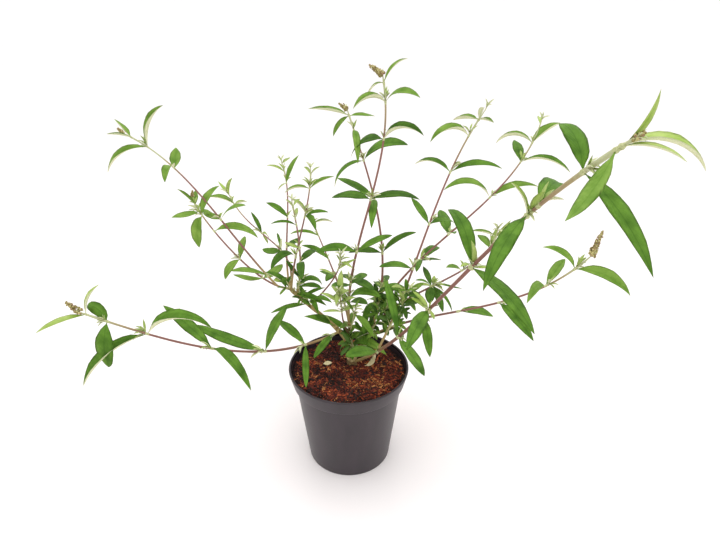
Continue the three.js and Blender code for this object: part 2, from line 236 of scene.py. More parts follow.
BASE_RADIUS = 0.060
INNER_BASE_RADIUS = 0.0586
SHOULDER_RADIUS = 0.0755
BAND_FOOT_RADIUS = 0.0795
BAND_HEIGHT = 0.024
WALL = 0.0016
BOTTOM = 0.0024
LIP = 0.003
LIP_DEPTH = 0.002
INNER_LIP = 0.0015
EDGE = 0.001
TOP_EDGE = 0.0008
CORNER = 0.0016
POT_SIDES = 160
DRAIN_HOLES = 8
DRAIN_RADIUS = 0.005
DRAIN_CIRCLE = 0.040
ROD_END = 0.01
ROD_SIDES = 24

pot_rim, pot_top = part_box("pot")[1].xz
band_foot = pot_top - BAND_HEIGHT

black_plastic = Finish("satin_black_plastic", Specular_IOR_Level=0.5)
scuffs = black_plastic.cloud(60.0, 4.0, (1, 1, 0.25))
mottle = black_plastic.cloud(14.0)
black_plastic.relief(black_plastic.cloud(900.0, 2.0), 0.12, 0.0004)
black_plastic.paint(Base_Color=black_plastic.ramp(scuffs, (0.3, "20171e"), (0.7, "2e242b")),
                    Roughness=0.30 + 0.12 * mottle + 0.10 * scuffs)

# The pot's inside walls and floor: painted shade, a much darker copy of the same black plastic for the shade
# inside the pot, varied by a soft noise.
shaded_inner_plastic = Finish("inner_plastic_painted_shade", Specular_IOR_Level=0.15)
grime_and_shade = shaded_inner_plastic.cloud(90.0, 4.0)
shaded_inner_plastic.paint(Base_Color=shaded_inner_plastic.ramp(grime_and_shade, (0.3, "0b080a"), (0.7, "171215")),
                   Roughness=0.7 + 0.2 * grime_and_shade)

pot_points, pot_faces = turned(rounded([
    (0, 0), (BASE_RADIUS, 0), (SHOULDER_RADIUS, band_foot), (BAND_FOOT_RADIUS, band_foot + EDGE),
    (pot_rim, pot_top - EDGE), (pot_rim - TOP_EDGE, pot_top), (pot_rim - LIP, pot_top),
    (pot_rim - LIP, pot_top - LIP_DEPTH), (BAND_FOOT_RADIUS - WALL, band_foot + WALL),
    (SHOULDER_RADIUS - WALL, band_foot + WALL), (INNER_BASE_RADIUS, BOTTOM), (0, BOTTOM),
], CORNER), POT_SIDES)
x, y, z = pot_points.reshape(-1, 3)[pot_faces].mean(1).T
wall_here = np.interp(z, [0, band_foot, pot_top], [BASE_RADIUS, SHOULDER_RADIUS, pot_rim])
is_inside = (np.hypot(x, y) < wall_here - WALL / 2) & (z > BOTTOM / 2) & (z < pot_top - INNER_LIP)
# Faces inside the pot take the darker plastic, painted shade.
plastics = [black_plastic.material, shaded_inner_plastic.material]
pot = make_piece("pot_shell", pot_points, pot_faces, plastics, is_inside)

# The drain holes are cut through the floor by round rods.
hole_angle = full_turn(DRAIN_HOLES)
rod_profile = [(0, -ROD_END), (DRAIN_RADIUS, -ROD_END), (DRAIN_RADIUS, ROD_END), (0, ROD_END)]
rod, rod_faces = turned(rod_profile, ROD_SIDES)
rod_places = DRAIN_CIRCLE * stacked(np.cos(hole_angle), np.sin(hole_angle), 0)
rods = rod.reshape(1, -1, 3) + rod_places[:, None]
cutter = make_piece("drain_rods", rods, repeated(rod_faces, DRAIN_HOLES, rods.shape[1]), [])
cut = pot.modifiers.new("drain", "BOOLEAN")
cut.object = cutter
cut.solver = "EXACT"
bpy.context.view_layer.update()
pot.data = bpy.data.meshes.new_from_object(pot.evaluated_get(bpy.context.evaluated_depsgraph_get()))
pot.modifiers.clear()
bpy.data.objects.remove(cutter)
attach(pot, "root")
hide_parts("pot")


# ---------------- the root ball
# Moist compost of shredded bark, bound by the roots, which fills the pot to just under its lip. Its top is
# uneven, with darker wet hollows, and it is strewn with bark chips, fibres and a few fallen leaves.

LATTICE = 64


def lumps(x, y, size, seed):
    """Smooth lumps of a size: random heights from -1 to 1 on a square lattice, eased between its knots."""
    heights = np.random.default_rng(seed).uniform(-1, 1, (LATTICE, LATTICE))
    u, v = x / size + LATTICE // 2, y / size + LATTICE // 2
    column, row = np.floor(u).astype(int) % (LATTICE - 1), np.floor(v).astype(int) % (LATTICE - 1)
    across, up = u - np.floor(u), v - np.floor(v)
    across, up = across * across * (3 - 2 * across), up * up * (3 - 2 * up)
    near, far = (heights[row + i, column] * (1 - across) + heights[row + i, column + 1] * across
                 for i in (0, 1))
    return near * (1 - up) + far * up


SOIL_MIDDLE = 0.145
SOIL_EDGE = 0.1434
SOIL_RADIUS = 0.0799
SOIL_LUMPS = [(0.0016, 0.019), (0.0011, 0.006), (0.0006, 0.0024)]  # height and size of each kind
SOIL_SINK = 0.0006
SOIL_RINGS = 70
SOIL_SIDES = 180


def soil_height(x, y):
    """The compost's top: a low dome with lumps of three sizes, which fade at the wall."""
    r = np.hypot(x, y) / SOIL_RADIUS
    dome = SOIL_MIDDLE + (SOIL_EDGE - SOIL_MIDDLE) * r ** 2
    relief = sum(height * lumps(x, y, size, seed) for seed, (height, size) in enumerate(SOIL_LUMPS, 1))
    return dome - SOIL_SINK + relief * np.clip(1.25 - r, 0.3, 1)


compost = Finish("bark_compost", Roughness=0.92)
grain = compost.cloud(420.0, 5.0)
damp = compost.cloud(38.0, 2.0)
dry_colour = compost.ramp(grain, (0.25, "080302"), (0.42, "180704"), (0.58, "340f08"), (0.8, "5c2010"))
wet_share = compost.ramp(damp, (0.52, "000000"), (0.62, "ffffff"))
compost.relief(grain, 0.9, 0.0015)
compost.paint(Base_Color=compost.mix(wet_share, dry_colour, "0d0704"))

soil_wall = [(0, 0.0028), (0.0575, 0.0028), (0.0733, 0.1305), (0.0776, 0.1312), (SOIL_RADIUS, 0.1410)]
top_radii = np.linspace(SOIL_RADIUS, 0, SOIL_RINGS)
soil_profile = np.concatenate([soil_wall, stacked(top_radii, SOIL_EDGE)])
soil_points, soil_faces = turned(soil_profile, SOIL_SIDES)
x, y, z = np.moveaxis(soil_points[len(soil_wall):], -1, 0)
z[:] = soil_height(x, y)
root_ball = make_piece("compost", soil_points, soil_faces, [compost.material])
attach(root_ball, "root")
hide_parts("root_ball")


UP = np.array([0, 0, 1.0])


def unit(vectors):
    """Vectors divided by their lengths."""
    return vectors / np.linalg.norm(vectors, axis=-1, keepdims=True)


def swung(angle, first, second):
    """Directions turned by an angle from the first to the second: cos a of one, sin a of the other."""
    return np.cos(angle)[..., None] * first + np.sin(angle)[..., None] * second


WALL_CLEARANCE = 0.004
CORNER_PUSH = (-0.45, 0.25)  # by shares of a bit's half size
ROLL_TO_PITCH = 1.5
BIT_RISE = 0.25  # share of its height that a bit's middle stands over the compost
BIT_CLEARANCE = 0.0003


def strewn(count, chance):
    """Random places on the compost, even over its area."""
    r = (SOIL_RADIUS - WALL_CLEARANCE) * np.sqrt(chance.uniform(0, 1, count))
    angle = chance.uniform(0, 2 * pi, count)
    x, y = r * np.cos(angle), r * np.sin(angle)
    return stacked(x, y, soil_height(x, y))


def bits(places, length, width, height, tilt, chance):
    """Broken bits of bark: boxes of seeded size with their corners pushed about, turned and tilted."""
    count = len(places)
    corners = np.array([(x, y, z) for z in (-1, 1) for x, y in ((-1, -1), (1, -1), (1, 1), (-1, 1))])
    corners = corners * (1 + chance.uniform(*CORNER_PUSH, (count, 8, 3)))
    size = stacked(*(chance.uniform(*limits, count) for limits in (length, width, height)))
    yaw = chance.uniform(0, 2 * pi, count)
    pitch, roll = (chance.normal(0, swing, count) for swing in (tilt, tilt * ROLL_TO_PITCH))
    along = stacked(np.cos(yaw) * np.cos(pitch), np.sin(yaw) * np.cos(pitch), np.sin(pitch))
    level = stacked(-np.sin(yaw), np.cos(yaw), 0)
    across = swung(roll, level, np.cross(along, level))
    axes = np.stack([along, across, np.cross(along, across)], 1)
    lifted = places + stacked(0, 0, size[:, 2] * BIT_RISE + BIT_CLEARANCE)
    points = lifted[:, None] + corners * size[:, None] / 2 @ axes
    box = np.array([(0, 3, 2, 1), (4, 5, 6, 7), (0, 1, 5, 4), (1, 2, 6, 5), (2, 3, 7, 6), (3, 0, 4, 7)])
    return points, repeated(box, count, 8)


BARK_TONES = [("120502", "2c0c06"), ("451208", "702410"), ("7c2e14", "ac5028"), ("a8642e", "d4945a")]
TONE_SHARES = [0.36, 0.39, 0.20, 0.05]
DAMP_DARKENS = 0.28
DAMP_PATCH = 0.016
FIBROUS = dict(scale=650.0, detail=4.0, strength=0.5, depth=0.0006, Roughness=0.85)
bark_tones = [speckled(f"bark_{i + 1}", *tones, **FIBROUS) for i, tones in enumerate(BARK_TONES)]
strew = np.random.default_rng(11)
for name, count, length, width, height, tilt in [
    ("bark_chips", 800, (0.005, 0.012), (0.0010, 0.0030), (0.0008, 0.0018), 0.32),
    ("bark_crumbs", 2400, (0.0018, 0.005), (0.0007, 0.0018), (0.0007, 0.0014), 0.45),
    ("bark_fibres", 1500, (0.006, 0.015), (0.0005, 0.0011), (0.0005, 0.0009), 0.28),
]:
    points, faces = bits(strewn(count, strew), length, width, height, tilt, strew)
    x, y, z = points.mean(1).T
    brightness = strew.uniform(0, 1, count) - DAMP_DARKENS * lumps(x, y, DAMP_PATCH, 4)
    tone_of_chip = np.searchsorted(np.cumsum(TONE_SHARES), np.clip(brightness, 0, 0.999))
    chips = make_piece(name, points, faces, bark_tones, np.repeat(tone_of_chip, 6))
    chips.data.shade_flat()
    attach(chips, "root")


# ---------------- the woody crown, the limbs and the boughs
# Old wood low down, tan and flaky, then young square-edged shoots with a smooth purplish bark that goes
# pale and felted at the tips. Each joint is a little swollen and felted where a pair of leaves stands.

def spread(azimuth):
    """The level direction of an azimuth in degrees, from +X towards +Y."""
    return np.array([cos(radians(azimuth)), sin(radians(azimuth)), 0.0])


def handles(start, azimuth, reach, rise, arch=(0, 0), sway=(0, 0)):
    """The four control points of a shoot. It heads along its azimuth and bows off a straight line upwards
    (arch) and sideways (sway), in its first and last third."""
    side = spread(azimuth + 90)
    chord = spread(azimuth) * reach + UP * rise
    up = unit(np.cross(chord, side))
    middle = [start + chord * (i + 1) / 3 + up * arch[i] + side * sway[i] for i in (0, 1)]
    return np.array([start, *middle, start + chord])


def on_curve(controls, share):
    """Points and headings of a cubic curve, at shares of the way."""
    t = np.atleast_1d(share)[:, None]
    points = ((1 - t) ** 3 * controls[0] + 3 * (1 - t) ** 2 * t * controls[1]
              + 3 * (1 - t) * t ** 2 * controls[2] + t ** 3 * controls[3])
    headings = ((1 - t) ** 2 * (controls[1] - controls[0]) + 2 * (1 - t) * t * (controls[2] - controls[1])
                + t ** 2 * (controls[3] - controls[2]))
    return points, unit(headings)


def spot(curve, share):
    """One point of a curve and its heading there."""
    return [part[0] for part in on_curve(curve, share)]


def level_side(heading):
    """The level direction to the left of a heading."""
    return unit(stacked(-heading[..., 1], heading[..., 0], 0))


def shoot(name, start, azimuth, reach, rise, arch=(0, 0), sway=(0, 0), radius=(1.2, 0.7), pairs=(),
          buds=None, thicket=(0, 0), green=None, ripe=100):
    """A limb or bough, in millimetres, degrees and, for places and shares, hundredths. Start is a point, or
    a bough's name and the place on it. Buds are the length, azimuth and climb of the flower spike at the
    tip. A thicket is the number of joints with dense side shoots and the place of the first. Green is the
    tint of all leaves, where they are of one age. The bark is ripe up to that share of its usual place."""
    if isinstance(start[0], str):
        parent, place = start
        start = spot(boughs[parent]["curve"], place / 100)[0]
    else:
        start = np.array(start) / 1000
    curve = handles(start, azimuth, reach / 1000, rise / 1000, np.array(arch) / 1000, np.array(sway) / 1000)
    boughs[name] = dict(curve=curve, radius=[r / 1000 for r in radius], pairs=pairs, buds=buds,
                        thicket=thicket, green=green, ripe=ripe / 100)


# The tints of leaves, from old to young, and of those deep in the shade.
DARK, MIDDLE, LIGHT, YOUNG, FELTED, SHADED = range(6)

# A leaf pair has its place along the bough and its turn about it. Each leaf has its opening from the bough,
# its length, its fall and, where unusual, its width as a share of its length and the slope of its fold.
# Between two leaves stands how far the second is off the straight opposite of the first.
boughs = {}
shoot("left_limb", (2, 18, 152), 164, 88, 102, (65, -39), (40, -51), (3.3, 2.4), [
    (44, 45, (75, 43, 10)),
    (71, 205, (45, 59, -10), 55, (95, 59, 60)),
    (73, 305, (45, 57, 15), -55, (85, 52, 100)),
    (81, 110, (100, 39, 30)),
    (90, 25, (95, 54, 30)),
    (97, 150, (60, 50, 40, 20)),
], thicket=(2, 80))
shoot("centre_limb", (5, 22, 152), 139, 6, 56, (0, 0), (0, 0), (2.9, 2.3), [
    (32, 80, (40, 54, 55), 25, (80, 28, 90)),
    (59, 95, (80, 64, 45)),
    (76, 310, (55, 69, 25, 22, 50)),
    (82, 210, (70, 52, 45), 0, (50, 54, 25)),
])
shoot("right_limb", (9, 19, 151), 17, 24, 42, (2, 1), (1, 1), (2.6, 2), [
    (38, 270, (50, 28, 65), 30, (60, 40, 65)),
    (80, 225, (45, 48, -20)),
    (90, 350, (55, 47, -10), -35, (85, 45, 10)),
])
shoot("front_right_bough", (9, 12, 150), -56, 350, 398, (-30, 23), (7, -4), (2.2, 1.7), [
    (13, 165, (50, 87, 20)),
    (25, 75, (80, 89, 40, 14, 20), -10, (45, 86, 10, 18, 20)),
    (41, 200, (55, 88, 30, 18, 20)),
    (41, 120, (70, 25, 30, 26), -10, (70, 13, 65, 30)),
    (41, 105, (55, 29, 45)),
    (60, 85, (50, 84, 95, 20, 20), -5, (45, 102, 40, 19, 10)),
    (60, 150, (45, 22, 60, 26), -5, (55, 22, 5, 18)),
    (60, 60, (25, 30, -50, 18), 30, (55, 24, 40)),
    (78, 195, (75, 91, 55, 17, 10)),
    (78, 95, (45, 34, 50, 18)),
    (79, 100, (30, 34, 50, 18)),
    (81, 35, (85, 82, 60, 26, 10)),
    (91, 80, (65, 59, 80, 28, 10), -5, (60, 98, 35, 16, 20)),
    (97, 215, (100, 97, -35, 13, 30)),
    (98, 30, (15, 45, -40, 10)),
    (98, 355, (35, 66, 90, 16, 90), 140, (30, 44, 50, 12, 90)),
    (100, 5, (100, 30, 0, 6)),
], buds=(7, -20, 40), green=MIDDLE)
shoot("left_sprawling_bough", ("left_limb", 33), -159, 316, 100, (-52, -25), (30, 18), (1.9, 1.1), [
    (3, 30, (45, 76, 15, 13, 50)),
    (15, 355, (65, 73, 20, 13), -10, (80, 69, 20)),
    (32, 190, (50, 116, -10, 14), 70, (90, 82, 20)),
    (53, 155, (45, 90, 15), 55, (100, 96, 60, 14, 90)),
    (77, 290, (35, 101, 55, 17, 100), -30, (95, 92, 95, 16, 100)),
    (91, 305, (95, 60, 60, 40, 0), -25, (50, 36, 100, 40, 30)),
    (98, 270, (40, 63, 15, 13), 0, (65, 45, 50, 13, 120)),
], buds=(20, 170, 38), green=MIDDLE)
shoot("left_back_bough", ("left_limb", 100), 139, 215, 82, (-84, 44), (-26, 55), (1.6, 1), [
    (24, 0, (60, 48, -25, 28, 10), 15, (85, 57, -20, 28, 10)),
    (43, 325, (70, 40, 70, 34, 10), 5, (50, 49, 45, 24, 10)),
    (65, 115, (100, 71, 85)),
    (78, 290, (80, 58, 70, 33, 20), -15, (60, 55, 70, 27, 30)),
    (82, 0, (95, 45, -10, 28, 40), 30, (80, 48, 25, 30, 30)),
    (89, 45, (40, 39, 10), -5, (20, 53, -15)),
], buds=(12, 90, 75), green=LIGHT, ripe=90)
shoot("left_high_bough", ("left_back_bough", 12), 151, 270, 190, (1, 29), (0, -24), (1.7, 1), [
    (6, 25, (45, 58, 40)),
    (39, 95, (80, 58, 55), -25, (45, 56, 5)),
    (71, 200, (55, 62, -20, 27), 30, (85, 60, 95, 28)),
    (87, 315, (30, 85, 70), -45, (65, 80, 60, 15)),
    (96, 15, (55, 37, 15), -5, (25, 51, -15)),
], buds=(12, 160, 40), green=LIGHT, ripe=85)
shoot("back_left_bough", ("left_limb", 100), 120, 241, 62, (9, -38), (-52, -8), (1.4, 0.9), [
    (6, 10, (95, 25, 10, 36)),
    (35, 305, (35, 46, -20, 26), -20, (40, 43, 50, 10)),
    (60, 200, (70, 23, 50, 34)),
    (60, 85, (55, 39, 20), -30, (95, 24, 20)),
    (93, 25, (50, 45, 35, 24), -10, (75, 34, 15)),
    (100, 90, (55, 43, 50), 10, (25, 40, -20)),
])
shoot("back_bough", ("left_limb", 100), 98, 222, 116, (-1, -1), (9, -17), (1.4, 0.9), [
    (18, 245, (65, 21, -20, 30)),
    (29, 230, (40, 43, -5, 26)),
    (52, 55, (60, 41, 50, 28, 10)),
    (81, 320, (75, 23, 30), -25, (50, 50, 25)),
    (91, 25, (55, 32, 35)),
    (99, 70, (55, 15, 10), -30, (50, 37, -15)),
])
shoot("left_inner_bough", ("left_limb", 97), 78, 116, 140, (3, -3), (6, -9), (1.4, 0.9), [
    (26, 80, (70, 62, 110, 20, 20)),
    (60, 150, (60, 40, 50), 160, (100, 44, 60, 22, 130)),
    (63, 60, (50, 30, 40, 22, 130), 0, (50, 28, 40, 22, 130)),
    (84, 170, (50, 41, 25), 5, (75, 46, 50)),
    (96, 305, (45, 33, 15), 0, (65, 24, 25)),
])
shoot("left_short_bough", ("left_limb", 88), 96, 46, 123, (14, -17), (-13, -7), (1.4, 0.9), [
    (9, 170, (55, 47, 35), -55, (65, 42, 45)),
    (14, 240, (50, 49, 95)),
    (19, 340, (55, 36, -5)),
    (36, 95, (85, 46, 85, 26), -40, (45, 50, 45, 24)),
    (51, 310, (65, 33, 5)),
    (76, 355, (55, 38, 50)),
    (83, 65, (65, 34, 30, 22, 120), -10, (65, 34, 5)),
    (96, 0, (45, 25, 0), -10, (65, 25, 35)),
])
shoot("left_front_shoot", ("left_limb", 68), -23, 48, 88, (0, -14), (0, 2), (1.3, 0.9), [
    (81, 330, (50, 30, 10)),
    (94, 65, (60, 15, 40), 10, (70, 28, 15)),
])
shoot("low_back_bough", ("centre_limb", 80), 109, 199, 95, (3, 0), (-12, 0), (1.5, 0.9), [
    (20, 90, (50, 29, 35)),
    (42, 45, (60, 30, 40)),
    (42, 290, (35, 54, 10, 14), -45, (95, 39, 70, 32, 10)),
    (58, 50, (55, 49, 50, 24)),
    (81, 20, (60, 48, 50)),
    (94, 175, (75, 37, 40)),
])
shoot("tall_bough", ("centre_limb", 100), 62, 95, 324, (6, -16), (22, -35), (1.9, 1.1), [
    (8, 120, (60, 62, 35), 0, (85, 61, 50)),
    (10, 135, (40, 65, 75), 5, (80, 60, 55)),
    (16, 270, (70, 56, 25), 0, (80, 59, 5)),
    (18, 145, (75, 63, 25), -10, (90, 59, 15)),
    (30, 70, (70, 60, 55, 24, 10), 0, (45, 61, 30)),
    (52, 35, (80, 59, 50, 27, 0), 20, (50, 73, 55, 22, 10)),
    (76, 345, (80, 79, 75, 23, 10), -15, (40, 69, 85, 17, 110)),
    (90, 35, (60, 57, 80, 17, 130), -95, (45, 61, 90, 21, 20)),
    (97, 160, (30, 53, 60, 10), -60, (75, 45, 70, 10)),
], buds=(21, 180, 34))
shoot("centre_shoot", ("centre_limb", 60), -118, 28, 84, (-6, -1), (-8, -1), (1.4, 0.9), [
    (60, 20, (60, 30, 30), 0, (60, 28, 30)),
    (74, 160, (45, 34, 40), 10, (30, 35, 30)),
    (89, 130, (60, 26, 45, 24, 130), 20, (25, 39, 25, 24, 130)),
    (95, 100, (50, 36, 20, 24, 130), 0, (55, 32, 30, 24, 130)),
], green=YOUNG)
shoot("back_tall_bough", ("right_limb", 100), 103, 153, 281, (1, 13), (-53, -19), (1.8, 1), [
    (6, 125, (75, 62, 50), 10, (85, 63, 35)),
    (11, 120, (80, 62, 50), 5, (75, 62, 40)),
    (16, 135, (40, 26, -5, 34)),
    (18, 295, (65, 57, 30), 15, (70, 60, 40)),
    (20, 270, (70, 60, 10)),
    (34, 325, (70, 62, 35), -10, (40, 60, 55)),
    (58, 60, (90, 70, 80), 55, (40, 80, 25)),
    (76, 310, (75, 68, 70, 22, 30), -20, (55, 76, 80, 28, 20)),
    (90, 65, (100, 72, 110, 15, 10)),
    (97, 335, (100, 39, 55, 24, 30)),
    (97, 355, (60, 60, 20, 14, 120), 10, (90, 47, 10, 22, 40)),
], buds=(14, 185, 35))
shoot("back_right_bough", ("right_limb", 80), 29, 284, 274, (36, -37), (30, -31), (1.9, 1), [
    (12, 130, (60, 67, 40), 35, (80, 69, 40)),
    (33, 335, (35, 68, 45), -25, (85, 68, 55)),
    (33, 300, (55, 63, 15, 12)),
    (47, 5, (65, 73, 20, 26, 20), -45, (85, 64, 20)),
    (67, 85, (80, 82, 95), -15, (10, 85, 50)),
    (84, 355, (45, 67, 30, 24, 10), 0, (50, 75, 70)),
    (92, 40, (70, 59, 95), -15, (20, 50, 20, 26)),
    (99, 300, (50, 49, 20)),
])
shoot("low_right_bough", ("right_limb", 70), -18, 276, 173, (16, -41), (6, -18), (1.8, 1), [
    (16, 170, (60, 68, 15), 25, (90, 71, 50)),
    (30, 190, (70, 71, 25)),
    (34, 120, (80, 20, 10, 26)),
    (45, 335, (55, 67, 35)),
    (62, 200, (50, 74, 30)),
    (81, 0, (65, 71, 15), -35, (85, 73, 45)),
    (93, 85, (65, 50, 80, 20, 50), -15, (35, 74, 65, 20, 40)),
], buds=(32, 20, 72))
shoot("inner_right_bough", ("right_limb", 100), -26, 162, 184, (28, -46), (-11, 60), (1.6, 0.9), [
    (31, 170, (55, 40, 40), 25, (95, 41, 20)),
    (47, 25, (95, 46, 15, 20, 20), -30, (85, 40, 25, 34, 10)),
    (47, 120, (80, 42, 40, 12), 170, (100, 30, 70, 16)),
    (48, 255, (60, 45, 50, 12)),
    (48, 200, (75, 45, 30, 24, 10), 10, (70, 18, 25, 30)),
    (52, 205, (50, 44, -15, 12)),
    (66, 140, (80, 42, 20, 24)),
    (88, 80, (95, 36, 45, 32, 10), 135, (75, 30, -60, 20)),
    (97, 175, (55, 37, 25), 15, (30, 31, -15)),
])
shoot("high_right_bough", ("front_right_bough", 12.5), 40, 182, 296, (-2, 15), (-11, 17), (1.8, 1), [
    (24, 140, (65, 61, 30), 5, (80, 61, 30)),
    (26, 90, (60, 31, 55, 20)),
    (35, 80, (80, 59, 40)),
    (53, 5, (50, 51, 20), 80, (50, 60, 50)),
    (74, 25, (65, 62, 70), -10, (40, 69, 55)),
    (89, 85, (80, 66, 95)),
    (96, 0, (95, 51, 15), -15, (85, 36, 15)),
    (96, 125, (65, 42, 40, 16)),
])

# Small straight shoots about the middle of the bush, hidden in their own leaves.
shoot("centre_front_shoot", ("centre_limb", 70), -79, 40, 60, green=LIGHT, pairs=[
    (84, 305, (65, 45, 45, 20), -10, (60, 28, 30)),
    (96, 70, (60, 20, 50)),
])
shoot("centre_right_shoot", ("right_limb", 90), 70, 26, 48, thicket=(4, 20), pairs=[
    (84, 90, (100, 62, 105)),
])
shoot("right_low_shoot", ("right_limb", 60), -27, 34, 66, thicket=(5, 20), pairs=[
    (86, 180, (80, 29, 40), 35, (80, 32, 100)),
])
shoot("right_inner_shoot", ("high_right_bough", 8), 0, 27, 60, thicket=(4, 20), pairs=[
    (74, 225, (20, 36, 55), 10, (70, 31, 35)),
])
shoot("low_front_shoot", ("centre_limb", 50), -80, 24, 4, thicket=(3, 20))

STEM_STEP = 0.0016
TIP_SWELL = 0.25
SWELL_PLACE = 0.95
SWELL_SHARE = 0.05
TIP_NARROWS = 0.45
TIP_SHARE = 0.04
JOINT_SWELL = 0.32
JOINT_HALF_LENGTH = 0.0016
FELT_HALF_LENGTH = 0.0030
FURROW_SIZE = 0.004
FURROW_STRETCH = 0.35
FURROW_WRAP = 0.012  # metres of noise to the radian
KNOB_SIZE = 0.006
KNOB_WRAP = 0.004
KNOB_SHARE = 0.6


def stem(curve, radius, sides, joints=(), rough=0.0, squareness=0.07, seed=0):
    """A stem carried along its curve. Its radius runs from the first value to the second, is felted thick
    near the tip and narrows at it, swells by a bell curve at each joint, is a little square, and is
    furrowed on old wood. Gives points, faces, a UV of the angle round it and the share of the way, and
    whether each face is at a felted joint."""
    length = np.linalg.norm(np.diff(on_curve(curve, np.linspace(0, 1, 60))[0], axis=0), axis=1).sum()
    rings = max(8, int(length / STEM_STEP))
    share = np.linspace(0, 1, rings + 1)
    centre, heading = on_curve(curve, share)
    reference = level_side(curve[3] - curve[0] + np.array([1e-6, 0, 0]))
    side = unit(reference - (heading @ reference)[:, None] * heading)
    up = np.cross(heading, side)
    angle = full_turn(sides)
    thickness = radius[0] + (radius[1] - radius[0]) * share
    thickness *= (1 + TIP_SWELL * np.exp(-((share - SWELL_PLACE) / SWELL_SHARE) ** 2)
                  - TIP_NARROWS * np.clip((share - (1 - TIP_SHARE)) / TIP_SHARE, 0, 1))
    distance = (share[:, None] - np.array([-1, *joints])) * length
    thickness *= 1 + JOINT_SWELL * np.exp(-(distance / JOINT_HALF_LENGTH) ** 2).sum(1)
    on = share[:, None] * length
    furrows = lumps(angle * FURROW_WRAP, on * FURROW_STRETCH, FURROW_SIZE, seed)
    knobs = lumps(angle * KNOB_WRAP, on, KNOB_SIZE, seed + 1)
    r = thickness[:, None] * (1 + squareness * np.cos(4 * angle) + rough * (furrows + KNOB_SHARE * knobs))
    points = centre[:, None] + r[..., None] * swung(angle, side[:, None], up[:, None])
    flow = stacked(angle / (2 * pi), share[:, None])
    foot, tip = (centre[i, None] + 0 * points[:1] for i in (0, -1))
    points = np.concatenate([foot, points, tip])
    flow = np.concatenate([flow[:1], flow, flow[-1:]])
    is_felted = np.abs(distance).min(1) < FELT_HALF_LENGTH
    is_felted = np.repeat(np.concatenate([is_felted[:1], is_felted]), sides)
    return points, grid_faces(rings + 3, sides, True), flow, is_felted


old_bark = Finish("old_wood", Roughness=0.85)
flakes = old_bark.cloud(260.0, 4.0, (1, 1, 0.3))
old_bark.relief(flakes, 0.8, 0.0008)
old_bark.paint(Base_Color=old_bark.ramp(flakes, (0.28, "5a4426"), (0.5, "94804a"), (0.75, "bcae7a")))

young_bark = Finish("young_bark", Roughness=0.6)
streak = young_bark.cloud(300.0, 3.0, (1, 1, 0.35))
age = young_bark.along(1)
ripe = young_bark.ramp(age + 0.10 * streak, (0.13, "a38d58"), (0.25, "805748"), (0.80, "8a5c52"),
                       (0.92, "a39468"), (1.0, "bcc294"))
young_bark.relief(streak, 0.3, 0.0003)
young_bark.paint(Base_Color=young_bark.mix(0.25 * streak, ripe, "4d2f28"))
joint_felt = speckled("joint_felt", "9aa06c", "c6c998", 900.0, 2.0, 0.35, 0.3, 0.0002, Roughness=0.9)

LIMBS = ("left_limb", "centre_limb", "right_limb")
LIMB_FORM = dict(sides=16, rough=0.16, squareness=0.0)
BOUGH_FORM = dict(sides=10, rough=0.04, squareness=0.07)
for seed, name in enumerate(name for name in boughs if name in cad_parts):
    bough = boughs[name]
    is_limb = name in LIMBS
    joints = [] if is_limb else [pair[0] / 100 for pair in bough["pairs"]]
    form = LIMB_FORM if is_limb else BOUGH_FORM
    seed = 20 + 2 * seed
    points, faces, flow, is_felted = stem(bough["curve"], bough["radius"], joints=joints, seed=seed, **form)
    flow[..., 1] /= bough["ripe"]
    barks = [(old_bark if is_limb else young_bark).material, joint_felt]
    piece = make_piece(f"{name}_bark", points, faces, barks, is_felted, flow)
    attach(piece, "root")
    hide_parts(name)

CROWN_FORM = [  # radius and share of the height
    (0, 0), (0.0088, 0), (0.0068, 0.4), (0.0056, 0.8), (0.0036, 1), (0, 1),
]
CROWN_CORNER = 0.002
CROWN_SIDES = 64
CROWN_RIDGES = 5
RIDGE_HEIGHT = 0.10
BURR_HEIGHT = 0.14
BURR_SIZE = 0.004

crown_low, crown_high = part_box("woody_crown")
crown_x, crown_y = (crown_low.x + crown_high.x) / 2, (crown_low.y + crown_high.y) / 2
crown_height = crown_high.z - crown_low.z
crown_side = [(radius, crown_low.z + share * crown_height) for radius, share in CROWN_FORM]
crown_points, crown_faces = turned(rounded(crown_side, CROWN_CORNER, 6), CROWN_SIDES)
x, y, z = np.moveaxis(crown_points, -1, 0)
crown_scale = (1 + RIDGE_HEIGHT * np.sin(CROWN_RIDGES * np.arctan2(y, x))
               + BURR_HEIGHT * lumps(x, y + z, BURR_SIZE, 61))
crown_points[..., :2] = crown_points[..., :2] * crown_scale[..., None] + np.array([crown_x, crown_y])
stained_bark = speckled("stained_bark", "2c1b10", "846c40", **FIBROUS)
crown = make_piece("woody_crown_bark", crown_points, crown_faces, [stained_bark])
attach(crown, "root")
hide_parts("woody_crown")

# Stubs of earlier shoots, cut back to the crown.
STUBS = [(-120, 50, 0.013), (-60, 62, 0.016), (-165, 66, 0.011), (-95, 78, 0.018)]  # azimuth, climb, length
STUB_RADIUS = (0.0021, 0.0017)
STUB_OUT = 0.004
STUB_UP = 0.6  # share of the crown's height

stub_parts = []
for i, (azimuth, climb, length) in enumerate(STUBS):
    foot = np.array([crown_x, crown_y, crown_low.z + STUB_UP * crown_height]) + STUB_OUT * spread(azimuth)
    climb = radians(climb)
    curve = handles(foot, azimuth, length * cos(climb), length * sin(climb))
    stub_parts.append(stem(curve, STUB_RADIUS, 10, rough=0.2, squareness=0, seed=70 + i)[:3])
points, faces, flow = joined(stub_parts)
cut_wood = speckled("cut_wood", "a8945c", "dccb98", **FIBROUS)
stubs = make_piece("cut_stubs", points, faces, [cut_wood])
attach(stubs, "root")


# ---------------- the leaves and the twigs
# Narrow leaves in opposite pairs, each pair crosswise to the last, matt green above and pale felt beneath,
# folded along the midrib, most of all when young. Small side shoots stand in their axils.

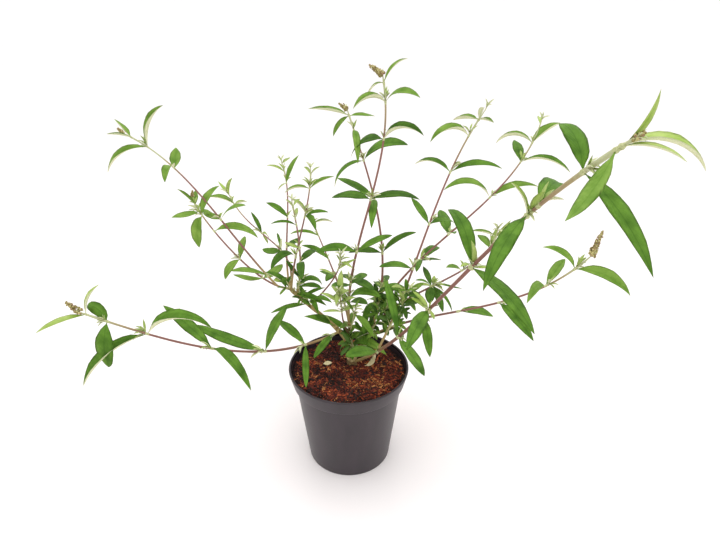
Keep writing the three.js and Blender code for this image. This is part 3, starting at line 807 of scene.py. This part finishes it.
TO_LIGHT = unit(np.array([0.0, -0.70, 0.70]))
LEAF_MEASURES = ("foot", "way", "length", "width", "fall", "roll", "wave", "fold", "blunt")
SHARE_TURNED = 0.65  # how far a flat leaf rolls on its stalk towards the light
FOLD_HOLDS = 0.45  # how much less a folded one rolls
POORLY_LIT = 0.4  # a leaf that faces the light less than this rolls further
STEEPEST = -1.6
STALK = 0.07  # share of the length
STALK_HALF_WIDTH = 0.0007
FOOT_POWERS = (0.80, 0.15)  # of the outline, and how much lower on a blunt leaf
TIP_POWERS = (1.10, 0.50)
MARGIN_WAVE = (0.03, 23)  # height in half widths, and radians to the length
MARGIN_RIPPLE = (0.06, 9, 2.2)  # the same up and down, and the lag from margin to margin
MARGIN_CURL = (0.16, 2.5)  # how far a flat leaf's margins curl down, and the power of the curl
BLADE_THICKNESS = 0.00035


def blades(leaves, rows, columns):
    """Many leaves at once. A leaf starts at its foot along its heading, and its slope falls evenly, which
    gives its midrib. It rolls towards the light, all the way where it would hang on edge or face down. Its
    half width follows u^a (1 - u)^b past its stalk. Across, it is folded up at the midrib, and its margins
    curl down and wave. Its underside is the same grid, let down by a thickness that ends at the margin.
    Gives points, faces, UV, and whether each face is on the underside."""
    foot, way, length, width, fall, roll, wave, fold, blunt = (
        np.array([[leaf[key]] for leaf in leaves], float) for key in LEAF_MEASURES)
    way = unit(way)
    level = np.hypot(way[..., 0], way[..., 1])
    ahead = way * (1, 1, 0) / np.maximum(level, 1e-6)[..., None]
    slope = np.arctan2(way[..., 2], level)

    def heading(share):
        """The midrib's direction at a share of the way, by its slope there."""
        e = np.maximum(slope - fall * share, STEEPEST)
        return swung(e, ahead, UP)

    even = np.linspace(0, 1, rows + 1)
    s = (even + 0.5 - 0.5 * np.cos(pi * even)) / 2
    steps = heading((s[1:] + s[:-1]) / 2) * (length * np.diff(s))[..., None]
    rib = foot + np.concatenate([0 * steps[:, :1], np.cumsum(steps, 1)], 1)
    tangent = heading(s)
    flat = stacked(-ahead[..., 1], ahead[..., 0], 0) + 0 * tangent
    top = np.cross(tangent, flat)
    facing = top[:, rows // 2, None] @ TO_LIGHT
    lit = np.arctan2(-(flat[:, :1] @ TO_LIGHT), facing)
    share_turned = SHARE_TURNED - FOLD_HOLDS * np.clip(fold, 0, 1)
    share_turned += (1 - share_turned) * np.clip(1 - facing / POORLY_LIT, 0, 1)
    side = swung(share_turned * lit + roll, flat, top)
    normal = np.cross(tangent, side)[:, :, None]

    u = np.clip((s - STALK) / (1 - STALK), 0, 1)
    foot_power, tip_power = (power - drop * blunt for power, drop in (FOOT_POWERS, TIP_POWERS))
    outline = u ** foot_power * (1.003 - u) ** tip_power
    half = width / 2 * outline / outline.max(1, keepdims=True)
    half = half * (1 + MARGIN_WAVE[0] * np.sin(wave + MARGIN_WAVE[1] * s))
    half = np.maximum(half, STALK_HALF_WIDTH * (1 - s))[..., None]
    t = np.array(columns)
    fold, wave = fold[..., None], wave[..., None]
    curl = MARGIN_CURL[0] * np.clip(1 - fold, 0, 1)
    height, waves, lag = MARGIN_RIPPLE
    lift = (np.abs(t * half) * (fold + curl) - half * curl * np.abs(t) ** MARGIN_CURL[1]
            + half * height * np.abs(t) * np.sin(wave + waves * s[:, None] + lag * t))
    upper = rib[:, :, None] + (t * half)[..., None] * side[:, :, None] + lift[..., None] * normal
    lower = upper - (BLADE_THICKNESS * (1 - t ** 4))[:, None] * normal

    count, per_side = len(leaves), (rows + 1) * len(t)
    points = np.stack([upper, lower], 1)
    one = grid_faces(rows + 1, len(t), False)
    let_down = np.zeros((rows + 1, len(t)), int)
    let_down[1:-1, 1:-1] = per_side
    below = np.arange(per_side) + let_down.ravel()
    faces = repeated(np.concatenate([one[:, [0, 3, 2, 1]], below[one]]), count, 2 * per_side)
    is_under = np.tile(np.repeat([False, True], len(one)), (count, 1))
    flow = np.tile(stacked((t + 1) / 2, s[:, None]).reshape(-1, 2), (2 * count, 1))
    return points, faces, flow, is_under


def leaf_finish(name, dark, light):
    """A leaf's upper skin: side veins slant from a narrow sunken midrib to the margin, the skin puckers
    between them, and a soft mottle varies the green. Painted light makes the green lighter towards the
    margins, and painted shade darkens it along the midrib."""
    finish = Finish(name, Roughness=0.6, Specular_IOR_Level=0.16)
    across, along = finish.along(0), finish.along(1)
    off_rib = (across - 0.5).maths("ABSOLUTE")
    veins = (along * 75.0 - off_rib * 40.0).maths("SINE")
    rib = finish.ramp(off_rib, (0.015, "ffffff"), (0.04, "000000"))
    pucker = finish.cloud(420.0, 2.0)
    # Painted light: the green grows lighter away from the midrib, towards the margins.
    tone = finish.mix(finish.cloud(55.0) * 1.8 + 0.4 * off_rib - 0.53, dark, light)
    finish.relief(veins * 0.5 + pucker - rib, 0.35, 0.0004)
    # Painted shade darkens the green along the sunken midrib, and the pucker noise varies it.
    finish.paint(Base_Color=finish.mix(rib * 0.35 + pucker * 0.35, tone, dark))
    return finish.material


LEAF_TINTS = [("2c500a", "5c842a"), ("375e10", "74a038"), ("587f22", "92b252"), ("94b24a", "d2e294"),
              ("d2dca0", "f0f4c8"), ("32541a", "6c8e46")]
FELT = dict(scale=1400.0, detail=2.0, low=0.35, strength=0.3, depth=0.0002, Roughness=0.9,
            Specular_IOR_Level=0.3)
tints = [leaf_finish(f"leaf_green_{i + 1}", *pair) for i, pair in enumerate(LEAF_TINTS)]
underside = speckled("leaf_underside", "ccd2a0", "e8eac6", **FELT)

SMALL_LEAF = 0.026
YOUNG_LEAF = 0.036
WIDE_COLUMNS = (-1, -0.55, 0, 0.55, 1)
SMALL_COLUMNS = (-1, 0, 1)
LEAF_SIZES = [(0.040, 1.0, 13, WIDE_COLUMNS), (SMALL_LEAF, 0.040, 9, SMALL_COLUMNS),
              (0.0, SMALL_LEAF, 6, SMALL_COLUMNS)]
ROLL_SPREAD = 0.14
grow = np.random.default_rng(5)
twigs = []


def leaf(foot, way, length, fall, tint, slim, fold, blunt):
    """One leaf's measures, with seeded chance in its roll, width, wave and fold."""
    return dict(foot=foot, way=way, length=length, fall=fall, tint=tint, blunt=blunt,
                roll=grow.normal(0, ROLL_SPREAD), width=length * slim * grow.uniform(0.94, 1.06),
                wave=grow.uniform(0, 2 * pi), fold=fold * grow.uniform(0.8, 1.2))


def opposite_way(heading, turn, opening):
    """The heading of a leaf that opens from its stem by one angle and is turned about it by the other."""
    side = level_side(heading)
    up = np.cross(heading, side)
    if up[2] < 0:
        up = -up
    out = cos(turn) * side + sin(turn) * up
    return cos(opening) * heading + sin(opening) * out


# Slim young leaves of a side shoot stand upright and folded, broad ones spread out flat.
SLENDER = dict(slim=0.2, openings=(0.25, 0.65), fold=1.0, blunt=0.1)
BROAD = dict(slim=0.34, openings=(0.6, 1.1), fold=0.25, blunt=0.8)
SIDE_PAIRS = ((0.625, 1.0), (1.0, 0.7))  # place and size of each pair of a side shoot
SIDE_BEND = 0.10
SIDE_RISE = 0.12
SIDE_RADIUS = (0.0008, 0.0005)
TURN_SPREAD = 0.15


def side_shoot(foot, way, length, leaf_length, tints, slim, openings, fold, blunt):
    """A small shoot by the branching rule: at even steps a pair of leaves, crosswise to the last pair and
    shorter towards the tip. Adds its twig to the twigs and gives its leaves."""
    way = unit(way) * length
    bend = grow.normal(0, SIDE_BEND, 3) * length + UP * SIDE_RISE * length
    curve = np.array([foot, foot + way / 3, foot + way * 2 / 3 + bend / 2, foot + way + bend])
    twigs.append((curve, SIDE_RADIUS))
    turn = grow.uniform(0, pi)
    leaves = []
    for place, size in SIDE_PAIRS:
        here, heading = spot(curve, place)
        for half_turn in (0, pi):
            way_out = opposite_way(heading, turn + half_turn, grow.uniform(*openings))
            leaves.append(leaf(here, way_out, leaf_length * size * grow.uniform(0.75, 1.1),
                               grow.uniform(0.1, 0.9), grow.choice(tints), slim, fold, blunt))
        turn += pi / 2 + grow.normal(0, TURN_SPREAD)
    return leaves


def tint_at(place):
    """The green of one spray: older leaves low on a bough are darker."""
    return int(np.clip(round(grow.normal(0.5 + 1.7 * place ** 2, 0.45)), DARK, LIGHT))


def usual_form(place):
    """A usual leaf's width as a share of its length, less towards the tip, and its fold, which grows over
    the upper half of the bough."""
    return 0.195 - 0.02 * place, 0.15 + 0.95 * np.clip(2.2 * place - 1.1, 0, 1)


def leaf_piece(name, leaves, nodes):
    """Joins leaves into one piece, which stands for the foliage named."""
    parts, finish_of_face = [], []
    for shortest, longest, rows, columns in LEAF_SIZES:
        group = [one for one in leaves if shortest <= one["length"] < longest]
        if group:
            *part, is_under = blades(group, rows, columns)
            tint = np.array([one["tint"] for one in group])[:, None]
            finish_of_face.append(np.where(is_under, len(tints), tint).ravel())
            parts.append(part)
    used, finish_of_face = np.unique(np.concatenate(finish_of_face), return_inverse=True)
    skins = [*tints, underside]
    points, faces, flow = joined(parts)
    piece = make_piece(name, points, faces, [skins[i] for i in used], finish_of_face, flow)
    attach(piece, "root")
    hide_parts(*nodes)


YOUNG_TINTS = (YOUNG, YOUNG, FELTED)
OLD_TINTS = (DARK, MIDDLE, LIGHT, SHADED)
INNER_SHADE_PLACE = 0.45  # what the tint of an inner leaf follows instead of its place; it gives leaves inside the bush darker greens, painted shade
NEAR_TIP = 0.95
AT_TIP = 0.97
AXIL_CHANCE = 0.85
AXIL_SIZES = (0.010, 0.019)
THICKET_LENGTH = 0.010
THICKET_SIZES = (0.014, 0.026)
THICKET_OPENINGS = (0.7, 1.3)
BUD_TIP_SIZES = (0.007, 0.010)
LEAFY_TIP_SIZES = (0.013, 0.018)
LENGTH_TO_LEAF = 0.3  # of a short side shoot

for name, bough in boughs.items():
    leaves, curve, green = [], bough["curve"], bough["green"]
    is_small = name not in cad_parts
    is_inner = is_small or name in LIMBS
    if is_small:
        twigs.append((curve, bough["radius"]))
    for place, turn, first, *rest in bough["pairs"]:
        place = place / 100
        pair = [(turn, *first)]
        if rest:
            skew, second = rest
            pair.append((turn + 180 + skew, *second))
        joint, heading = spot(curve, place)
        # Leaves on the limbs and on the small inner shoots take darker tints than their places give: painted
        # shade inside the bush.
        tint = tint_at(INNER_SHADE_PLACE if is_inner else place)
        if green is not None:
            tint = green if place < NEAR_TIP else max(LIGHT, green)
        for leaf_turn, opening, length, fall, *unusual in pair:
            length = length / 1000
            is_young = place > AT_TIP or length < YOUNG_LEAF and not is_inner
            way = opposite_way(heading, radians(leaf_turn), radians(opening))
            slim, fold = (*(value / 100 for value in unusual), *usual_form(place)[len(unusual):])
            own_tint, blunt = YOUNG if is_young else tint, max(1 - place, 4 * (slim - 0.2))
            leaves.append(leaf(joint, way, length, radians(fall), own_tint, slim, fold, blunt))
            if length > SMALL_LEAF and place < NEAR_TIP and grow.uniform() < AXIL_CHANCE:
                size = grow.uniform(*AXIL_SIZES)
                leaves += side_shoot(joint, 0.6 * way + 1.3 * heading, size * LENGTH_TO_LEAF, size,
                                     YOUNG_TINTS, **SLENDER)
    joints, first_joint = bough["thicket"]
    for share in np.linspace(first_joint / 100, 1.0, joints):
        joint, heading = spot(curve, share)
        for turn in grow.uniform(0, 2 * pi, 2):
            way = opposite_way(heading, turn, grow.uniform(*THICKET_OPENINGS))
            size = grow.uniform(*THICKET_SIZES)
            leaves += side_shoot(joint, way, THICKET_LENGTH, size, OLD_TINTS, **BROAD)
    if name not in LIMBS:
        tip, heading = spot(curve, 1.0)
        size = grow.uniform(*(BUD_TIP_SIZES if bough["buds"] else LEAFY_TIP_SIZES))
        leaves += side_shoot(tip, heading, size * LENGTH_TO_LEAF, size, (FELTED,), **SLENDER)
    base = name.replace("_bough", "").replace("_shoot", "")
    masses = [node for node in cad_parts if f"foliage_{base}" in (node, node[:-2])]
    leaf_piece(f"{base}_leaves", leaves, masses)

green_twig = speckled("green_twig", "96985e", "c4c692", 200.0, Roughness=0.6)
points, faces, flow = joined([stem(curve, radius, 6, squareness=0)[:3] for curve, radius in twigs])
piece = make_piece("side_twigs", points, faces, [green_twig], flow=flow)
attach(piece, "root")


# ---------------- the flower buds
# Closed spikes of buds at the tips of the strongest shoots, each a stack of small olive-brown clusters on a
# pale stalk. The whole spike leans off its bough and tapers to its tip.

BUD_RINGS = 4
BUD_SIDES = 6
BUD_RADIUS = 0.0014
BUD_SIZES = (0.6, 1.1)
BUDS_IN_CLUSTER = 8
CLUSTER_STEP = 0.0019
CLUSTER_TURN = 2.1
CLUSTER_SPREAD = 0.0010
SPIKE_RADIUS = 0.0030
FULL_SPIKE = 0.020  # a shorter spike is thinner


def spike(foot, way, length):
    """The middles and radii of one spike's buds: clusters at even steps, three round the stalk, each of
    several buds strewn about its own middle, all smaller towards the tip."""
    way = unit(way)
    side = level_side(way)
    up = np.cross(way, side)
    count = max(3, int(length / CLUSTER_STEP)) * 3
    share = (np.arange(count) // 3 + grow.uniform(0, 1, count)) / (count / 3)
    stand_off = SPIKE_RADIUS * (1 - share) ** 0.6 * min(1, length / FULL_SPIKE)
    angle = np.arange(count) * CLUSTER_TURN + grow.normal(0, 0.3, count)
    clusters = foot + share[:, None] * length * way + stand_off[:, None] * swung(angle, side, up)
    room = CLUSTER_SPREAD * (1 - 0.5 * share)
    strewn_about = grow.normal(0, 1, (count, BUDS_IN_CLUSTER, 3)) * room[:, None, None]
    radii = BUD_RADIUS * (1 - 0.45 * share)[:, None] * grow.uniform(*BUD_SIZES, (count, BUDS_IN_CLUSTER))
    return (clusters[:, None] + strewn_about).reshape(-1, 3), radii.ravel()


spikes = []
for bough in boughs.values():
    if bough["buds"]:
        length, azimuth, climb = bough["buds"]
        climb = radians(climb)
        way = spread(azimuth) * cos(climb) + UP * sin(climb)
        spikes.append(spike(spot(bough["curve"], 1.0)[0], way, length / 1000))
bud_middles, bud_radii = (np.concatenate(part) for part in zip(*spikes))
ball_profile = [(sin(a), -cos(a)) for a in np.linspace(0, pi, BUD_RINGS + 1)]
ball, ball_faces = turned(ball_profile, BUD_SIDES)
bud_points = bud_middles[:, None] + bud_radii[:, None, None] * ball.reshape(1, -1, 3)
bud_faces = repeated(ball_faces, len(bud_middles), bud_points.shape[1])
BUD_TONES = [("7c7140", "a3965e"), ("aca368", "d2c992"), ("84684c", "a88a6a")]
SCALY = dict(scale=1100.0, low=0.35, strength=0.4, depth=0.0003, Roughness=0.85, Specular_IOR_Level=0.3)
bud_tones = [speckled(f"bud_scales_{i + 1}", *tones, **SCALY) for i, tones in enumerate(BUD_TONES)]
tone_of_bud = grow.choice(len(bud_tones), len(bud_middles), p=[0.4, 0.35, 0.25])
buds = make_piece("flower_buds", bud_points, bud_faces, bud_tones, np.repeat(tone_of_bud, len(ball_faces)))
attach(buds, "root")


# ---------------- the fallen leaves
# Two pale scraps of leaf lie curled on the compost, and a withered brown one clings to the foot of the
# left limb.

pale_litter = speckled("pale_litter", "d8cc9c", "f2e8c0", **FELT)
brown_litter = speckled("brown_litter", "5a2c18", "8a4c2c", **FELT)
limb_joint = spot(boughs["left_limb"]["curve"], 0.36)[0]
litter = [dict(zip(LEAF_MEASURES, scrap)) for scrap in [
    ((0.023, 0.005, 0.1475), (1.0, 0.10, 0.02), 0.034, 0.0175, -2.2, -0.7, 1.0, 0.2, 0.8),
    ((-0.037, 0.010, 0.1470), (1.0, 0.2, 0.15), 0.013, 0.0062, 0.2, 0.6, 2.0, 0.3, 0.0),
    (limb_joint, (0.75, -0.40, -0.45), 0.022, 0.0052, 0.5, -0.3, 0.5, 0.6, 0.5),
]]
points, faces, flow, is_under = blades(litter, 14, WIDE_COLUMNS)
is_brown = np.repeat([False, False, True], is_under.shape[1])
fallen = make_piece("fallen_leaves", points, faces, [pale_litter, brown_litter], is_brown, flow)
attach(fallen, "root")


# ---------------- the floor, the light and the camera
# A plain pale table, a wide soft overhead light with pale surroundings, and a camera that looks down on the
# plant from its front.

FLOOR_HALF = 30
FLOOR_LINES = 9
pale_floor = speckled("pale_floor", "fdf6f6", "fef9f9", 3.0, Roughness=0.35)
floor_u = np.linspace(-FLOOR_HALF, FLOOR_HALF, FLOOR_LINES)
floor_faces = grid_faces(FLOOR_LINES, FLOOR_LINES, False)
floor = make_piece("floor", stacked(floor_u, floor_u[:, None], 0), floor_faces, [pale_floor])

scene = bpy.context.scene
scene.world = bpy.data.worlds.new("pale_surroundings")
scene.world.use_nodes = True
background = scene.world.node_tree.nodes["Background"].inputs
background["Color"].default_value = (1, 1, 1, 1)
background["Strength"].default_value = 1.07
LIT_POINT = np.array([0, 0, 0.25])
for name, energy, size, place in [
    ("overhead_softbox", 10, 1.8, (-0.2, 0.1, 1.9)),
    ("front_softbox", 5, 1.2, (0.8, -1.8, 1.2)),
]:
    light = bpy.data.lights.new(name, "AREA")
    light.energy = energy
    light.size = size
    lamp = placed(name, light)
    lamp.location = place
    x, y, z = place - LIT_POINT
    lamp.rotation_euler = (acos(z / hypot(x, y, z)), 0, atan2(y, x) + pi / 2)
scene.view_settings.view_transform = "Standard"

camera_data = bpy.data.cameras.new("camera")
camera_data.lens = 29.1
camera_data.sensor_width = 36
camera = placed("camera", camera_data)
camera.location = (0.016, -0.675, 0.650)
camera.rotation_euler = (radians(62.87), 0, 0)
scene.camera = camera
